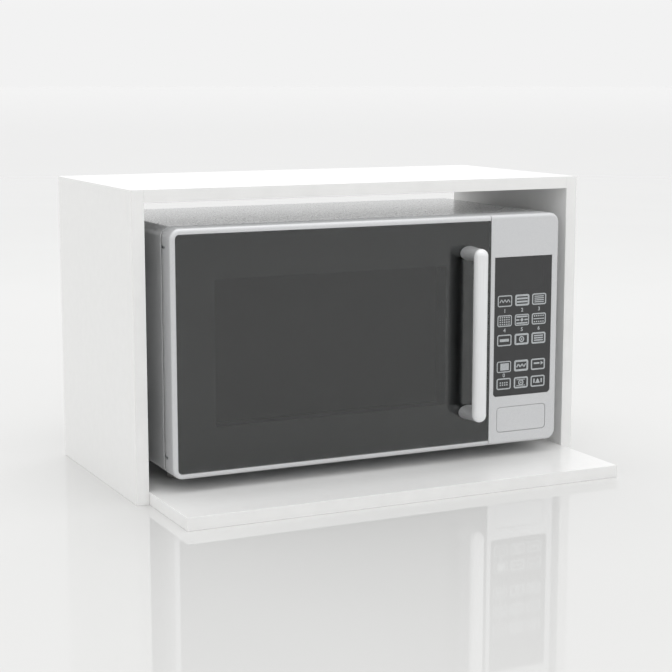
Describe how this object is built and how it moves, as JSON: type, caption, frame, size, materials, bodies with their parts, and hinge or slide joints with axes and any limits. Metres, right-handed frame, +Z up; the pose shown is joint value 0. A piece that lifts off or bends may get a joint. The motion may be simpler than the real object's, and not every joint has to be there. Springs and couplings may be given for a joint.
{
  "type": "microwave cabinet",
  "caption": "White board cabinet, open front and back, on a base shelf that stands forward, housing a microwave oven with a side-hinged glass door and a keypad.",
  "frame": {"origin": "on the floor, under the middle of the whole object's box", "axes": "+X along the cabinet's width, to the right seen from the front; +Y to the back; +Z up"},
  "size_m": [0.6, 0.416, 0.367],
  "materials": {
    "white_board": "white melamine-faced board, satin",
    "white_edge": "white edge banding, satin",
    "silver_plastic": "silver painted plastic, smooth",
    "silver_paint": "silver painted steel sheet",
    "black_glass": "black backed float glass, polished",
    "black_film": "printed keypad film, fine satin",
    "black_plastic": "moulded, matt",
    "handle_metal": "satin anodised bar",
    "zinc_steel": "zinc plated steel",
    "cavity_paint": "grey enamel, fine speckle",
    "clear_glass": "toughened clear glass",
    "cream_plastic": "moulded engineering plastic",
    "circuit_board": "coated circuit board",
    "mica": "mica sheet",
    "laminated_iron": "varnished laminations and windings",
    "rubber": "moulded rubber"
  },
  "bodies": {
    "cabinet": {"side_panel_left": "white_board", "side_panel_right": "white_board", "top_panel": "white_board", "base_shelf": "white_board", "back_rail_lower": "white_board", "back_rail_upper": "white_board", "edge_band_left": "white_edge", "edge_band_right": "white_edge", "edge_band_top": "white_edge", "edge_band_shelf": "white_edge", "cam_lock_1": "zinc_steel", "cam_lock_2": "zinc_steel", "cam_lock_3": "zinc_steel", "cam_lock_4": "zinc_steel"},
    "oven": {"outer_casing": "silver_paint", "base_plate": "zinc_steel", "rear_panel": "zinc_steel", "cord_inlet": "black_plastic", "cavity_liner": "cavity_paint", "waveguide_cover": "mica", "foot_front_left": "rubber", "foot_front_right": "rubber", "foot_rear_left": "rubber", "foot_rear_right": "rubber", "control_fascia": "silver_plastic", "keypad_panel": "black_film", "display_module": "black_plastic", "control_board": "circuit_board", "hinge_bracket_lower": "zinc_steel", "hinge_bracket_upper": "zinc_steel", "hinge_pin_lower": "zinc_steel", "hinge_pin_upper": "zinc_steel", "latch_bracket": "cream_plastic", "door_switch_lower": "black_plastic", "door_switch_upper": "black_plastic", "power_transformer": "laminated_iron", "capacitor": "zinc_steel", "magnetron": "zinc_steel", "fan_shroud": "cream_plastic", "fan_motor": "laminated_iron", "cavity_lamp": "clear_glass", "turntable_motor": "zinc_steel"},
    "door": {"door_frame": "silver_plastic", "door_glass": "black_glass", "door_pan": "zinc_steel", "window_screen": "black_plastic", "door_inner_cover": "black_plastic", "door_handle": "handle_metal", "handle_screw_lower": "zinc_steel", "handle_screw_upper": "zinc_steel", "latch_spring": "zinc_steel"},
    "latch": {"latch_hooks": "cream_plastic"},
    "press_key": {"press_key": "silver_plastic"},
    "turntable": {"drive_coupler": "cream_plastic", "glass_tray": "clear_glass"},
    "roller_ring": {"roller_ring": "cream_plastic"},
    "roller_1": {"roller_1": "cream_plastic"},
    "roller_2": {"roller_2": "cream_plastic"},
    "roller_3": {"roller_3": "cream_plastic"},
    "fan": {"fan_blade": "cream_plastic"}
  },
  "joints": [
    {"name": "oven_slide", "type": "slide", "parent": "cabinet", "child": "oven", "axis": [0, -1, 0], "range_m": [0, 0.38]},
    {"name": "door_hinge", "type": "hinge", "parent": "oven", "child": "door", "pos_m": [-0.2565, -0.0808, 0.1775], "axis": [0, 0, -1], "range_deg": [0, 90]},
    {"name": "latch_slide", "type": "slide", "parent": "door", "child": "latch", "axis": [0, 0, 1], "range_m": [0, 0.004], "stiffness_N_per_m": 300, "springref_m": -0.003, "deforming": ["latch_spring"]},
    {"name": "key_press", "type": "slide", "parent": "oven", "child": "press_key", "axis": [0, 1, 0], "range_m": [0, 0.0015], "stiffness_N_per_m": 500, "springref_m": -0.001},
    {"name": "tray_spin", "type": "hinge", "parent": "oven", "child": "turntable", "pos_m": [-0.059, 0.0393, 0.079], "axis": [0, 0, 1], "continuous": true},
    {"name": "ring_spin", "type": "hinge", "parent": "oven", "child": "roller_ring", "pos_m": [-0.059, 0.0393, 0.079], "axis": [0, 0, 1], "continuous": true},
    {"name": "roller_1_spin", "type": "hinge", "parent": "roller_ring", "child": "roller_1", "pos_m": [-0.059, 0.1233, 0.0792], "axis": [0, 1, 0], "continuous": true},
    {"name": "roller_2_spin", "type": "hinge", "parent": "roller_ring", "child": "roller_2", "pos_m": [-0.13175, -0.0027, 0.0792], "axis": [-0.866, -0.5, 0], "continuous": true},
    {"name": "roller_3_spin", "type": "hinge", "parent": "roller_ring", "child": "roller_3", "pos_m": [0.01375, -0.0027, 0.0792], "axis": [0.866, -0.5, 0], "continuous": true},
    {"name": "fan_spin", "type": "hinge", "parent": "oven", "child": "fan", "pos_m": [0.185, 0.1193, 0.2155], "axis": [0, 1, 0], "continuous": true}
  ],
  "couplings": [
    {"joint": "ring_spin", "follows": "tray_spin", "ratio": 0.5},
    {"joint": "roller_1_spin", "follows": "tray_spin", "ratio": -5.25},
    {"joint": "roller_2_spin", "follows": "tray_spin", "ratio": -5.25},
    {"joint": "roller_3_spin", "follows": "tray_spin", "ratio": -5.25}
  ]
}
